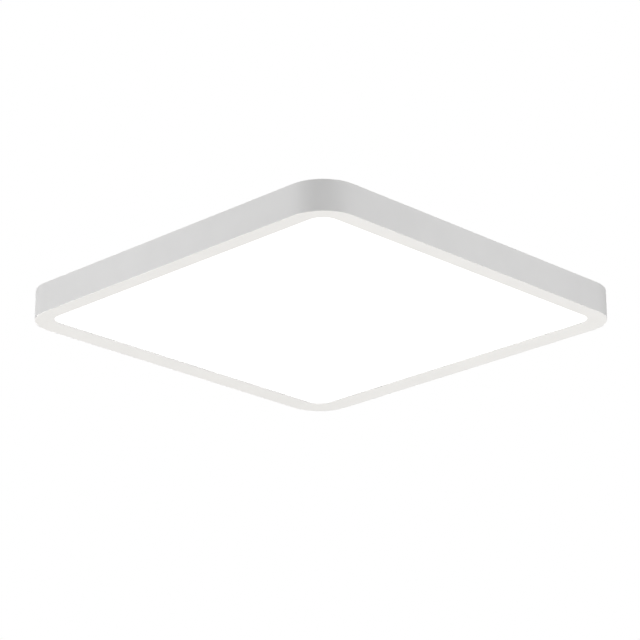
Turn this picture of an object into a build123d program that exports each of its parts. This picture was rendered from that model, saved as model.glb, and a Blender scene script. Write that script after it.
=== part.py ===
"""Thin square flush mount LED ceiling light, edge lit, about 300 mm square and 23 mm deep.

The lamp hangs under a steel mounting bar that is screwed to the ceiling.  A white moulded bezel
carries an opal diffuser and a light guide, and a sheet steel back pan closes them in.  The LED strip
is taped to the pan's folded flanges and shines into the edge of the guide.  The driver and the
terminal block lie on the back of the pan, inside the depth of the bezel wall.

Millimetres.  +Z is up, into the ceiling.  The origin is the centre of the mounting bar's upper face,
on the ceiling.  The side nearest a viewer who looks along +Y is -Y.
"""
from build123d import *
import math
import os

# ---------------------------------------------------------------- driving dimensions

# bezel
SIDE = 300.0              # outer side of the square
HEIGHT = 22.6             # ceiling to the corner of the rim, before its edge is rounded
CORNER_R = 27.0           # outer corner radius in plan
WALL_T = 1.8              # side wall
CEILING_GAP = 0.5         # between the top of the wall and the ceiling
RIM_W = 14.5              # visible width of the rim, in plan
RIM_RISE = 1.3            # the rim slopes up by this much towards the diffuser
OPENING_R = 11.0          # corner radius of the lit opening
LIP_T = 0.7               # thickness of the rim at its inner edge
RIM_EDGE_R = 0.35         # rounding of the outer lower edge
WALL_EDGE_R = 0.3         # rounding of the wall's upper edges
LIP_EDGE_R = 0.3          # rounding of the rim's inner lower edge

# optical stack, from the rim upwards
DIFFUSER_T = 1.5
DIFFUSER_OVERLAP = 5.1    # how far the diffuser lies on the ledge
GUIDE_T = 3.0
GUIDE_OVERLAP = 4.5       # how far the light guide reaches past the opening
REFLECTOR_T = 0.3
FOAM_T = 1.9
FOAM_INSET = 2.0          # foam edge inside the guide's edge

# LED strip round the guide
LED_GAP = 0.3             # between the LEDs and the guide
LED_DEPTH = 0.9
LED_LENGTH = 4.0
LED_WIDTH = 1.4
LED_PITCH = 10.0
LEDS_PER_SIDE = 24
STRIP_T = 0.3
STRIP_W = 5.0
STRIP_END = 2.0           # the strip stops this far before the open corner
TAPE_T = 0.2

# back pan
PAN_T = 0.8
PAN_CORNER_GAP = 0.7      # between the pan's corner and the bezel wall
FLANGE_INSET = 4.0        # the folded flange ends this far before the corner arc
RELIEF_W = 2.0            # bend relief at each end of a flange
RELIEF_DEPTH = 2.5
FOLD_R = 0.9              # outer radius of the folds
BEAD_L = 190.0            # pressed stiffening beads
BEAD_W = 10.0
BEAD_H = 1.0
BEAD_EDGE_R = 0.5
BEAD_PITCH = 26.0
BEAD_COUNT = 4
BEAD_FROM_EDGE = 24.0     # front edge of the pan to the middle of the first bead
REAR_BEAD_PITCH = 20.0
REAR_BEAD_COUNT = 2
REAR_BEAD_FROM_EDGE = 14.5
NOTCH_W = 7.0             # notch in the pan edge that lets the LED leads through
NOTCH_DEPTH = 2.2

# bezel bosses, hooks and gussets
BOSS_R = 2.6
BOSS_GAP = 0.5            # between the LED strip and a boss
HOOK_GAP = 0.3            # between the pan's fold and a hook's arm
HOOK_T = 1.4
HOOK_W = 10.0
HOOK_CATCH = 1.6          # how far a hook's nose reaches over the pan
HOOK_NOSE_H = 1.8
HOOK_TIP_H = 0.6          # thickness of the nose at its tip
HOOK_NOSE_GAP = 0.1
HOOK_SPACING = 120.0      # between the two hooks on a side
GUSSET_T = 1.2
GUSSET_W = 3.0
GUSSET_H = 9.0
BOSS_RIB_H = 5.4
GUSSET_SPACING = 40.0
GUSSETS_PER_SIDE = 6

# fasteners
SCREW_R = 1.5
SCREW_HEAD_R = 2.7
SCREW_HEAD_H = 1.8
SCREW_HEAD_EDGE_R = 1.0
SCREW_TIP_H = 1.0
SCREW_TIP_R = 0.6
RECESS_W = 0.7            # cross recess: width, half length and depth of its slots
RECESS_REACH = 1.6
RECESS_DEPTH = 0.9
FIT_GAP = 0.05            # radial clearance of a fastener in its hole
FRAME_SCREW_L = 6.0
PAN_SCREW_GRIP = 1.3      # how far a pan screw reaches past the pan, into the foam
FOAM_HOLE_R = 3.0
RIVET_R = 1.6
RIVET_HEAD_R = 3.0
RIVET_HEAD_H = 0.8
RIVET_EDGE_R = 0.55

# mounting bar on the ceiling
BAR_W = 26.0
BAR_T = 1.5
BAR_LIP_H = 3.2           # depth of the bar's turned-down long edges
BAR_END = 15.0            # from a stud to the end of the bar
SCREW_SLOT_PITCH = 80.0   # centre to centre of the two ceiling screw slots
SCREW_SLOT_W = 4.5
SCREW_SLOT_L = 16.0
CABLE_HOLE_R = 7.0

# keyhole hanging
STUD_PITCH = 176.0
STUD_R = 2.0
STUD_HEAD_R = 4.0
STUD_HEAD_T = 1.2
STUD_EDGE_R = 0.6         # rounding under the head
STUD_SHOULDER_R = 3.0
SLIDE_TRAVEL = 12.0       # the lamp slides this far along +X to free the studs
KEYHOLE_GAP = 0.3         # stud shank to the sides of the slot
KEYHOLE_HEAD_GAP = 0.8    # stud head to the edge of the round end
HANG_GAP = 0.1            # stud head to the bridge that hangs on it
BRIDGE_BAR_GAP = 0.8      # bar's turned-down edges to the bridge
BRIDGE_T = 1.0
BRIDGE_W = 24.0
BRIDGE_MARGIN = 4.0       # metal left round the keyhole, along X
FOOT_W = 9.0
RIVET_SPACING = 20.0

# driver
WIRING_GAP = 19.5         # from the bridge feet to the driver and terminal block
DRIVER_L = 150.0
DRIVER_W = 42.0
DRIVER_H = 12.0
DRIVER_WALL = 1.2
DRIVER_LID_H = 4.0
DRIVER_R = 3.0
DRIVER_EDGE_R = 1.0
SEAM_DEPTH = 0.4          # shadow line under the lid, round the base
SEAM_H = 0.5
CATCH_W = 7.0             # the lid's catches, inside the long walls
CATCH_T = 1.0
CATCH_L = 3.5             # how far a catch reaches down into the base
CATCH_NOSE = 0.9          # how far its nose reaches into the window
CATCH_NOSE_H = 1.2
CATCH_GAP = 0.2           # round a nose in its window
CATCH_SPACING = 90.0      # between the two catches on a side
LABEL_L = 40.0            # shallow bare field on the lid
LABEL_W = 26.0
LABEL_R = 2.0
LABEL_DEPTH = 0.3
LABEL_FROM_END = 6.0
DRIVER_EAR_L = 9.0
DRIVER_EAR_W = 12.0
DRIVER_EAR_T = 2.0
VENT_W = 1.6
VENT_L = 18.0
VENT_PITCH = 4.0
VENT_COUNT = 12
BOARD_T = 1.2
BOARD_GAP = 0.8           # board edge to the case wall
POST_H = 0.8
POST_R = 2.0

# parts on the driver board
PART_GAP = 0.15           # air over the tallest parts, under the lid
PART_SPACING = 4.0        # between neighbours, along the board
FIRST_PART = 7.0          # from the board's supply end to the first part
FRONT_ROW = -9.0          # small parts lie this far in front of the board's middle line
FUSE_R = 1.8
FUSE_L = 10.0
CHOKE_R = 6.0
CHOKE_BORE_R = 2.5
CHOKE_H = 6.0
INPUT_CAN_L = 16.0
INPUT_CAN_ROW = 4.0
RECTIFIER_SIZE = (9.0, 6.0, 2.5)
SWITCH_SIZE = (6.0, 8.0, 3.0)
CORE_L = 18.0
CORE_W = 16.0
CORE_LEG = 3.0
CORE_YOKE = 1.5
WINDING_PROUD = 2.0       # the winding stands out of the core on both sides
OUTPUT_CAN_L = 14.0
OUTPUT_CAN_ROWS = (-9.0, 2.0)

# terminal block
TERMINAL_L = 27.0
TERMINAL_W = 22.0
TERMINAL_H = 9.6          # housing, on top of its base plate
TERMINAL_BASE_T = 1.0
TERMINAL_TO_DRIVER = 28.0
POLE_PITCH = 8.4
POLE_NAMES = ("live", "neutral", "earth")
CELL_W = 6.0              # inside of one pole
CELL_L = 16.0
CELL_H = 7.0
ENTRY_R = 1.5
ENTRY_FUNNEL_R = 2.3
EAR_L = 8.0
EAR_W = 10.0
EAR_R = 3.0
HOUSING_EDGE_R = 0.6
GROOVE_W = 0.6            # lines between the poles
GROOVE_DEPTH = 0.4
TEST_HOLE_R = 0.8
TEST_HOLE_FROM_BACK = 4.0
BUTTON_W = 4.6
BUTTON_L = 5.6
BUTTON_GAP = 0.2          # button to the sides of its pocket
BUTTON_FLANGE = 0.5       # the foot of a button is wider by this much on each side
BUTTON_FLANGE_T = 0.8
BUTTON_PROUD = 1.7
BUTTON_EDGE_R = 0.5
BUTTON_TRAVEL = 1.5
BUTTON_FROM_MIDDLE = 2.0  # towards the supply side
CONTACT_T = 0.8
CONTACT_W = 4.4
CLAMP_T = 0.4
CLAMP_CLEAR = 0.3         # clamp leaf to the fully pressed button

# leads and clips
LEAD_R = 1.1              # mains leads
LED_LEAD_R = 0.8          # low voltage leads
LEAD_GAP = 3.0            # between neighbouring leads, centre to centre
LEAD_INSERT = 6.0         # length of a lead inside the block or the driver
LEAD_CLEAR = 0.1
LEAD_FROM_EDGE = 6.0      # driver's rear edge to the nearest lead
LED_LEAD_SPREAD = 2.4     # between the two low voltage leads where they drop to the strip
LED_LEAD_STEP = 2.1       # one of them ends this far above the other
LED_LEAD_SLANT = 0.8      # a lead turns to its drop over this share of its way to the edge
CLIP_L = 7.0
CLIP_WALL = 2.0
CLIP_ROOF = 1.4
CLIP_FLOOR = 0.8          # under the low voltage leads
CLIP_MOUTH = 1.5
EARTH_SCREW_GAP = 35.0    # terminal block to the earth screw
LUG_R = 4.2
LUG_T = 0.8
LUG_BARREL_L = 6.0
LUG_BARREL_WALL = 0.4

# ---------------------------------------------------------------- levels and places that follow

HALF = SIDE / 2
ARC_C = HALF - CORNER_R                   # x and y of a corner arc's centre
WALL_TOP = -CEILING_GAP
RIM_INNER_Z = -HEIGHT + RIM_RISE
LEDGE_Z = RIM_INNER_Z + LIP_T
DIFFUSER_TOP = LEDGE_Z + DIFFUSER_T
GUIDE_TOP = DIFFUSER_TOP + GUIDE_T
GUIDE_MID = DIFFUSER_TOP + GUIDE_T / 2
REFLECTOR_TOP = GUIDE_TOP + REFLECTOR_T
PAN_UNDER = REFLECTOR_TOP + FOAM_T
PAN_TOP = PAN_UNDER + PAN_T

OPENING_HALF = HALF - RIM_W
CAVITY_HALF = HALF - WALL_T
DIFFUSER_HALF = OPENING_HALF + DIFFUSER_OVERLAP
GUIDE_HALF = OPENING_HALF + GUIDE_OVERLAP
STRIP_FACE = GUIDE_HALF + LED_GAP + LED_DEPTH
STRIP_BACK = STRIP_FACE + STRIP_T
FLANGE_FACE = STRIP_BACK + TAPE_T
PAN_HALF = FLANGE_FACE + PAN_T
FLANGE_END = ARC_C - FLANGE_INSET
STRIP_LOW = GUIDE_MID - STRIP_W / 2
STRIP_STOP = ARC_C - STRIP_END

BOSS_FROM_ARC = (STRIP_BACK - ARC_C) + BOSS_GAP + BOSS_R     # from an arc's centre, on the diagonal
BOSS_XY = ARC_C + BOSS_FROM_ARC / math.sqrt(2)
PAN_CORNER_REACH = (CAVITY_HALF - ARC_C) - PAN_CORNER_GAP
PAN_CORNER_R = (math.sqrt(2) * (PAN_HALF - ARC_C) - PAN_CORNER_REACH) / (math.sqrt(2) - 1)

BRIDGE_TOP = -BAR_LIP_H - BRIDGE_BAR_GAP
BRIDGE_UNDER = BRIDGE_TOP - BRIDGE_T
STUD_HEAD_TOP = BRIDGE_UNDER - HANG_GAP
STUD_X = STUD_PITCH / 2
SLOT_R = STUD_R + KEYHOLE_GAP
KEY_R = STUD_HEAD_R + KEYHOLE_HEAD_GAP
BRIDGE_LOW = -SLIDE_TRAVEL - KEY_R - BRIDGE_MARGIN            # ends of a bridge, from its stud
BRIDGE_HIGH = SLOT_R + BRIDGE_MARGIN
FOOT_Y = BRIDGE_W / 2 + FOOT_W / 2
RIVET_MID = (BRIDGE_LOW + BRIDGE_HIGH) / 2

DEVICE_FRONT = BRIDGE_W / 2 + FOOT_W + WIRING_GAP             # front face of driver and terminal
GROUP_L = TERMINAL_L + TERMINAL_TO_DRIVER + DRIVER_L
TERMINAL_X = -GROUP_L / 2 + TERMINAL_L / 2
TERMINAL_Y = DEVICE_FRONT + TERMINAL_W / 2
TERMINAL_FLOOR = PAN_TOP + TERMINAL_BASE_T
TERMINAL_TOP = TERMINAL_FLOOR + TERMINAL_H
DRIVER_X = GROUP_L / 2 - DRIVER_L / 2
DRIVER_Y = DEVICE_FRONT + DRIVER_W / 2
DRIVER_LEFT = DRIVER_X - DRIVER_L / 2
DRIVER_RIGHT = DRIVER_X + DRIVER_L / 2
DRIVER_TOP = PAN_TOP + DRIVER_H
DRIVER_SPLIT = DRIVER_TOP - DRIVER_LID_H
BOARD_UNDER = PAN_TOP + DRIVER_WALL + POST_H
BOARD_TOP = BOARD_UNDER + BOARD_T
PART_TOP = DRIVER_TOP - DRIVER_WALL - PART_GAP

LEAD_Z = BOARD_TOP + LEAD_CLEAR + LEAD_R                      # the leads are soldered on the board
ENTRY_Z = TERMINAL_FLOOR + CONTACT_T + ENTRY_R
LEAD_Y = DRIVER_Y + DRIVER_W / 2 - LEAD_FROM_EDGE             # rear lead of each pair
LED_LEAD_Z = PAN_TOP + CLIP_FLOOR + LEAD_CLEAR + LED_LEAD_R
EARTH_X = TERMINAL_X - POLE_PITCH
EARTH_Y = TERMINAL_Y + TERMINAL_W / 2 + EARTH_SCREW_GAP

FRAME_SCREWS = [(sx * BOSS_XY, sy * BOSS_XY) for sx in (-1, 1) for sy in (-1, 1)]
DRIVER_SCREWS = [(DRIVER_LEFT - DRIVER_EAR_L / 2, DRIVER_Y), (DRIVER_RIGHT + DRIVER_EAR_L / 2, DRIVER_Y)]
TERMINAL_SCREWS = [(TERMINAL_X + s * (TERMINAL_L + EAR_L) / 2, TERMINAL_Y) for s in (-1, 1)]
PAN_SCREWS = DRIVER_SCREWS + TERMINAL_SCREWS + [(EARTH_X, EARTH_Y)]
CATCHES = [(DRIVER_X + s * CATCH_SPACING / 2, side) for s in (-1, 1) for side in (-1, 1)]
RIVETS = [
    (stud + RIVET_MID + along * RIVET_SPACING / 2, side * FOOT_Y)
    for stud in (-STUD_X, STUD_X)
    for along in (-1, 1)
    for side in (-1, 1)
]
POLES = {name: TERMINAL_X + (1 - i) * POLE_PITCH for i, name in enumerate(POLE_NAMES)}


# ---------------------------------------------------------------- helpers

def block(x0, x1, y0, y1, z0, z1):
    """A box between two corners."""
    return Pos((x0 + x1) / 2, (y0 + y1) / 2, (z0 + z1) / 2) * Box(x1 - x0, y1 - y0, z1 - z0)


def rod(x, y, radius, z0, z1):
    """An upright cylinder."""
    return Pos(x, y, (z0 + z1) / 2) * Cylinder(radius, z1 - z0)


def rod_y(x, z, radius, y0, y1):
    """A cylinder along Y."""
    return Pos(x, (y0 + y1) / 2, z) * Rot(90, 0, 0) * Cylinder(radius, y1 - y0)


def rod_x(y, z, radius, x0, x1):
    """A cylinder along X."""
    return Pos((x0 + x1) / 2, y, z) * Rot(0, 90, 0) * Cylinder(radius, x1 - x0)


def arc_radius(half):
    """Corner radius of a rounded square of that half width that shares the bezel's arc centres."""
    return half - ARC_C


def square_plate(half, radius, z0, z1):
    """A square plate with rounded corners."""
    return Pos(0, 0, z0) * extrude(RectangleRounded(2 * half, 2 * half, radius), z1 - z0)


def slot_plate(length, width, z0, z1):
    """A plate with round ends, along X."""
    return Pos(0, 0, z0) * extrude(SlotOverall(length, width), z1 - z0)


def four_sides(shape):
    """The shape and its three copies turned by quarter turns about Z."""
    return [Rot(0, 0, 90 * k) * shape for k in range(4)]


def square_ring(profile):
    """Carries a profile, drawn in XZ with x as the distance from the middle, round the rounded square."""
    straight = extrude(profile, ARC_C, both=True)
    corner = revolve(Pos(0, ARC_C, 0) * profile, Axis((ARC_C, ARC_C, 0), (0, 0, 1)), 90)
    side = straight + corner
    sides = four_sides(side)
    return sides[0] + sides[1:]


def group(solids):
    """Several separate pieces in one node."""
    return Compound(children=[s.solid() for s in solids])


def drill(shape, places, radius, z0, z1):
    """Upright holes at each place."""
    return shape - [rod(x, y, radius, z0, z1) for x, y in places]


def pan_head_screw(x, y, seat, length):
    """A pan head screw with a cross recess, whose head sits on the level seat."""
    head = rod(x, y, SCREW_HEAD_R, seat, seat + SCREW_HEAD_H)
    head = fillet(head.edges().sort_by(Axis.Z)[-1], SCREW_HEAD_EDGE_R)
    shank = rod(x, y, SCREW_R, seat - length + SCREW_TIP_H, seat)
    tip = Pos(x, y, seat - length + SCREW_TIP_H / 2) * Cone(SCREW_TIP_R, SCREW_R, SCREW_TIP_H)
    top = seat + SCREW_HEAD_H
    for half_x, half_y in ((RECESS_REACH, RECESS_W / 2), (RECESS_W / 2, RECESS_REACH)):
        head -= block(x - half_x, x + half_x, y - half_y, y + half_y, top - RECESS_DEPTH, top)
    return head + shank + tip


def lead(points, radii, radius):
    """A round lead along straight runs joined by tangent arcs."""
    path = FilletPolyline(*points, radius=radii)
    tube = sweep(Plane(origin=path @ 0, z_dir=path % 0) * Circle(radius), path=path)
    section = math.pi * radius ** 2 * path.length
    print(f"lead of {path.length:.1f} mm, bends {[round(r, 2) for r in radii]}, "
          f"volume {tube.volume:.1f} of {section:.1f} mm3")
    return tube


def bend_radii(points):
    """For each corner of a route, 0.45 of its shorter run over the tangent of half the turn."""
    radii = []
    for a, b, c in zip(points, points[1:], points[2:]):
        before = Vector(*b) - Vector(*a)
        after = Vector(*c) - Vector(*b)
        turn = math.radians(before.get_angle(after))
        radii.append(0.45 * min(before.length, after.length) / math.tan(turn / 2))
    return radii


# ---------------------------------------------------------------- bezel

def frame_profile():
    """Half section of the bezel: side wall, sloping rim and the ledge inside it."""
    corners = {
        "rim_edge": (HALF, -HEIGHT),
        "wall_outer": (HALF, WALL_TOP),
        "wall_inner": (CAVITY_HALF, WALL_TOP),
        "floor": (CAVITY_HALF, LEDGE_Z),
        "lip_upper": (OPENING_HALF, LEDGE_Z),
        "lip_lower": (OPENING_HALF, RIM_INNER_Z),
    }
    rounding = {"rim_edge": RIM_EDGE_R, "wall_outer": WALL_EDGE_R, "wall_inner": WALL_EDGE_R}
    section = make_face(Polyline(*corners.values(), close=True))
    for name, radius in rounding.items():
        corner = section.vertices().sort_by_distance((*corners[name], 0))[0]
        section = fillet(corner, radius)
    return Plane.XZ * section


def hook():
    """A snap hook that stands on the rim and holds the pan down by its folded edge."""
    arm_in = PAN_HALF + HOOK_GAP
    nose_under = PAN_TOP + HOOK_NOSE_GAP
    outline = Polyline(
        (arm_in, LEDGE_Z),
        (arm_in + HOOK_T, LEDGE_Z),
        (arm_in + HOOK_T, nose_under + HOOK_NOSE_H),
        (arm_in, nose_under + HOOK_NOSE_H),
        (PAN_HALF - HOOK_CATCH, nose_under + HOOK_TIP_H),
        (PAN_HALF - HOOK_CATCH, nose_under),
        (arm_in, nose_under),
        close=True,
    )
    return extrude(Plane.XZ * make_face(outline), HOOK_W / 2, both=True)


def gusset():
    """A small triangular rib between the wall and the rim."""
    outline = Polyline(
        (CAVITY_HALF, LEDGE_Z),
        (CAVITY_HALF, LEDGE_Z + GUSSET_H),
        (CAVITY_HALF - GUSSET_W, LEDGE_Z),
        close=True,
    )
    return extrude(Plane.XZ * make_face(outline), GUSSET_T / 2, both=True)


def corner_boss():
    """A screw boss in a corner, tied to the wall by a rib."""
    post = rod(BOSS_XY, BOSS_XY, BOSS_R, LEDGE_Z, PAN_UNDER)
    reach = (CAVITY_HALF - ARC_C) + WALL_T / 2 - BOSS_FROM_ARC
    rib = block(0, reach, -GUSSET_T / 2, GUSSET_T / 2, LEDGE_Z, LEDGE_Z + BOSS_RIB_H)
    return post + Pos(BOSS_XY, BOSS_XY, 0) * Rot(0, 0, 45) * rib


def cut_opening(frame):
    """Gives the lit opening its own corner radius, and rounds the rim's edge round it."""
    frame -= square_plate(OPENING_HALF, OPENING_R, -HEIGHT, LEDGE_Z)
    edge = [
        e for e in frame.edges()
        if e.center().Z < LEDGE_Z - FIT_GAP
        and max(map(abs, e.center())) < OPENING_HALF + FIT_GAP
        and abs(e.position_at(0).Z - e.position_at(1).Z) < LIP_T / 2
    ]
    return fillet(edge, LIP_EDGE_R)


def make_frame():
    frame = cut_opening(square_ring(frame_profile()))
    extras = []
    for s in (-1, 1):
        extras += four_sides(Pos(0, s * HOOK_SPACING / 2, 0) * hook())
    first = -(GUSSETS_PER_SIDE - 1) / 2 * GUSSET_SPACING
    for i in range(GUSSETS_PER_SIDE):
        extras += four_sides(Pos(0, first + i * GUSSET_SPACING, 0) * gusset())
    extras += four_sides(corner_boss())
    frame = frame + extras
    screw_end = PAN_TOP - FRAME_SCREW_L
    return drill(frame, FRAME_SCREWS, SCREW_R + FIT_GAP, screw_end - FIT_GAP, PAN_TOP)


# ---------------------------------------------------------------- optical stack

def make_diffuser():
    return square_plate(DIFFUSER_HALF, arc_radius(DIFFUSER_HALF), LEDGE_Z, DIFFUSER_TOP)


def make_guide():
    return square_plate(GUIDE_HALF, arc_radius(GUIDE_HALF), DIFFUSER_TOP, GUIDE_TOP)


def make_reflector():
    return square_plate(GUIDE_HALF, arc_radius(GUIDE_HALF), GUIDE_TOP, REFLECTOR_TOP)


def make_foam():
    half = GUIDE_HALF - FOAM_INSET
    foam = square_plate(half, arc_radius(half), REFLECTOR_TOP, PAN_UNDER)
    return drill(foam, PAN_SCREWS, FOAM_HOLE_R, REFLECTOR_TOP, PAN_UNDER)


def make_led_strip():
    """A flexible strip on edge round the guide, open at the +X +Y corner where its leads start."""
    outer = square_plate(STRIP_BACK, arc_radius(STRIP_BACK), STRIP_LOW, STRIP_LOW + STRIP_W)
    inner = square_plate(STRIP_FACE, arc_radius(STRIP_FACE), STRIP_LOW, STRIP_LOW + STRIP_W)
    corner = block(STRIP_STOP, HALF, STRIP_STOP, HALF, -HEIGHT, 0)
    return outer - inner - corner


def make_leds():
    first = -(LEDS_PER_SIDE - 1) / 2 * LED_PITCH
    solids = []
    for i in range(LEDS_PER_SIDE):
        y = first + i * LED_PITCH
        led = block(
            STRIP_FACE - LED_DEPTH, STRIP_FACE, y - LED_LENGTH / 2, y + LED_LENGTH / 2,
            GUIDE_MID - LED_WIDTH / 2, GUIDE_MID + LED_WIDTH / 2,
        )
        solids += four_sides(led)
    return group(solids)


def make_tapes():
    tape = block(STRIP_BACK, FLANGE_FACE, -FLANGE_END, FLANGE_END, STRIP_LOW, STRIP_LOW + STRIP_W)
    return group(four_sides(tape))


# ---------------------------------------------------------------- back pan

def bead(y):
    """A pressed bead along X: what it adds on top of the pan, and what it takes from below."""
    inner_w = BEAD_W - 2 * PAN_T
    inner_l = BEAD_L - 2 * PAN_T
    ridge = slot_plate(BEAD_L, BEAD_W, PAN_UNDER, PAN_TOP + BEAD_H)
    ridge = fillet(ridge.edges().group_by(Axis.Z)[-1], BEAD_EDGE_R)
    hollow = slot_plate(inner_l, inner_w, PAN_UNDER, PAN_UNDER + BEAD_H)
    return Pos(0, y, 0) * ridge, Pos(0, y, 0) * hollow


def make_pan():
    pan = square_plate(PAN_HALF, PAN_CORNER_R, PAN_UNDER, PAN_TOP)
    pan = pan + four_sides(block(FLANGE_FACE, PAN_HALF, -FLANGE_END, FLANGE_END, STRIP_LOW, PAN_UNDER))
    for s in (-1, 1):
        y0, y1 = sorted((s * FLANGE_END, s * (FLANGE_END + RELIEF_W)))
        pan = pan - four_sides(block(PAN_HALF - RELIEF_DEPTH, HALF, y0, y1, STRIP_LOW, 0))
    notch_y = STRIP_STOP + (NOTCH_W + LED_LEAD_R) / 2
    pan -= block(PAN_HALF - NOTCH_DEPTH, HALF, notch_y - NOTCH_W / 2, notch_y + NOTCH_W / 2, PAN_UNDER, 0)
    folds = [
        edge for edge in pan.edges().group_by(Axis.Z)[-1]
        if edge.length > FLANGE_END and max(map(abs, edge.center())) > PAN_HALF - FIT_GAP
    ]
    pan = fillet(folds, FOLD_R)
    rows = [-PAN_HALF + BEAD_FROM_EDGE + i * BEAD_PITCH for i in range(BEAD_COUNT)]
    rows += [PAN_HALF - REAR_BEAD_FROM_EDGE - i * REAR_BEAD_PITCH for i in range(REAR_BEAD_COUNT)]
    ridges, hollows = zip(*(bead(y) for y in rows))
    pan = pan + list(ridges) - list(hollows)
    pan = drill(pan, FRAME_SCREWS + PAN_SCREWS, SCREW_R + FIT_GAP, PAN_UNDER, PAN_TOP)
    return drill(pan, RIVETS, RIVET_R + FIT_GAP, PAN_UNDER, PAN_TOP)


def make_frame_screws():
    return group(pan_head_screw(x, y, PAN_TOP, FRAME_SCREW_L) for x, y in FRAME_SCREWS)


# ---------------------------------------------------------------- hanging on the ceiling

def make_bar():
    """The bar on the ceiling, with turned-down edges, two screw slots and a cable hole."""
    length = STUD_PITCH + 2 * BAR_END
    bar = extrude(RectangleRounded(length, BAR_W, BAR_T), -BAR_LIP_H)
    trough = BAR_W / 2 - BAR_T
    bar -= block(-length / 2, length / 2, -trough, trough, -BAR_LIP_H, -BAR_T)
    for s in (-1, 1):
        bar -= Pos(s * SCREW_SLOT_PITCH / 2, 0, 0) * slot_plate(SCREW_SLOT_L, SCREW_SLOT_W, -BAR_T, 0)
    bar = drill(bar, [(0, 0)], CABLE_HOLE_R, -BAR_T, 0)
    return drill(bar, [(-STUD_X, 0), (STUD_X, 0)], STUD_R + FIT_GAP, -BAR_T, 0)


def make_studs():
    """Two headed studs riveted into the bar."""
    studs = []
    for x in (-STUD_X, STUD_X):
        shank = rod(x, 0, STUD_R, STUD_HEAD_TOP, 0)
        shoulder = rod(x, 0, STUD_SHOULDER_R, -BAR_T - STUD_HEAD_T, -BAR_T)
        head = rod(x, 0, STUD_HEAD_R, STUD_HEAD_TOP - STUD_HEAD_T, STUD_HEAD_TOP)
        head = fillet(head.edges().sort_by(Axis.Z)[0], STUD_EDGE_R)
        studs.append(shank + shoulder + head)
    return group(studs)


def make_bridge(stud_x):
    """A bent steel bridge on the pan, with the keyhole that a stud hangs in."""
    x0, x1 = stud_x + BRIDGE_LOW, stud_x + BRIDGE_HIGH
    side = BRIDGE_W / 2
    bridge = block(x0, x1, -side, side, BRIDGE_UNDER, BRIDGE_TOP)
    bridge = bridge + [
        block(x0, x1, *sorted((s * side, s * (side - BRIDGE_T))), PAN_TOP, BRIDGE_TOP) for s in (-1, 1)
    ]
    upper = bridge.edges().filter_by(Axis.X).group_by(Axis.Z)[-1]
    bridge = fillet(upper, BRIDGE_T)
    bridge = bridge + [
        block(x0, x1, *sorted((s * (side - BRIDGE_T), s * (side + FOOT_W))), PAN_TOP, PAN_TOP + BRIDGE_T)
        for s in (-1, 1)
    ]
    slot = block(stud_x - SLIDE_TRAVEL, stud_x, -SLOT_R, SLOT_R, BRIDGE_UNDER, BRIDGE_TOP)
    bridge -= slot
    bridge = drill(bridge, [(stud_x, 0)], SLOT_R, BRIDGE_UNDER, BRIDGE_TOP)
    bridge = drill(bridge, [(stud_x - SLIDE_TRAVEL, 0)], KEY_R, BRIDGE_UNDER, BRIDGE_TOP)
    return drill(bridge, RIVETS, RIVET_R + FIT_GAP, PAN_TOP, PAN_TOP + BRIDGE_T)


def make_rivets():
    seat = PAN_TOP + BRIDGE_T
    rivets = []
    for x, y in RIVETS:
        head = rod(x, y, RIVET_HEAD_R, seat, seat + RIVET_HEAD_H)
        head = fillet(head.edges().sort_by(Axis.Z)[-1], RIVET_EDGE_R)
        rivets.append(head + rod(x, y, RIVET_R, PAN_UNDER, seat))
    return group(rivets)


# ---------------------------------------------------------------- driver

def driver_block(inset, z0, z1):
    """The driver's outline, drawn in by an inset."""
    outline = RectangleRounded(DRIVER_L - 2 * inset, DRIVER_W - 2 * inset, DRIVER_R - inset)
    return Pos(DRIVER_X, DRIVER_Y, z0) * extrude(outline, z1 - z0)


def lead_holes(x0, x1, radius, z):
    """Two holes through a driver end wall, for a pair of leads."""
    return [rod_x(LEAD_Y - i * LEAD_GAP, z, radius + LEAD_CLEAR, x0, x1) for i in (0, 1)]


def board_corners():
    """Places of the board's four posts."""
    dx = DRIVER_L / 2 - DRIVER_WALL - BOARD_GAP - POST_R
    dy = DRIVER_W / 2 - DRIVER_WALL - BOARD_GAP - POST_R
    return [(DRIVER_X + sx * dx, DRIVER_Y + sy * dy) for sx in (-1, 1) for sy in (-1, 1)]


def catch_nose(x, side, inner_gap, room):
    """The nose of one of the lid's catches, or with room round it the window that it snaps into."""
    wall = DRIVER_Y + side * (DRIVER_W / 2 - DRIVER_WALL)
    half_w = CATCH_W / 2 + room
    middle = DRIVER_SPLIT - CATCH_L + CATCH_NOSE_H / 2 + CATCH_GAP
    half_h = CATCH_NOSE_H / 2 + room
    reach = CATCH_NOSE if room == 0 else DRIVER_WALL
    y0, y1 = sorted((wall - side * inner_gap, wall + side * reach))
    return block(x - half_w, x + half_w, y0, y1, middle - half_h, middle + half_h)


def catch(x, side):
    """A catch under the lid's long edge."""
    x0, x1 = x - CATCH_W / 2, x + CATCH_W / 2
    wall = DRIVER_Y + side * (DRIVER_W / 2 - DRIVER_WALL)
    outer = wall - side * LEAD_CLEAR
    inner = outer - side * CATCH_T
    in_wall = wall + side * DRIVER_WALL / 2
    leaf = block(x0, x1, *sorted((inner, outer)), DRIVER_SPLIT - CATCH_L, DRIVER_SPLIT + CATCH_T)
    root = block(x0, x1, *sorted((inner, in_wall)), DRIVER_SPLIT, DRIVER_SPLIT + CATCH_T)
    return leaf + root + catch_nose(x, side, LEAD_CLEAR, 0)


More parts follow.
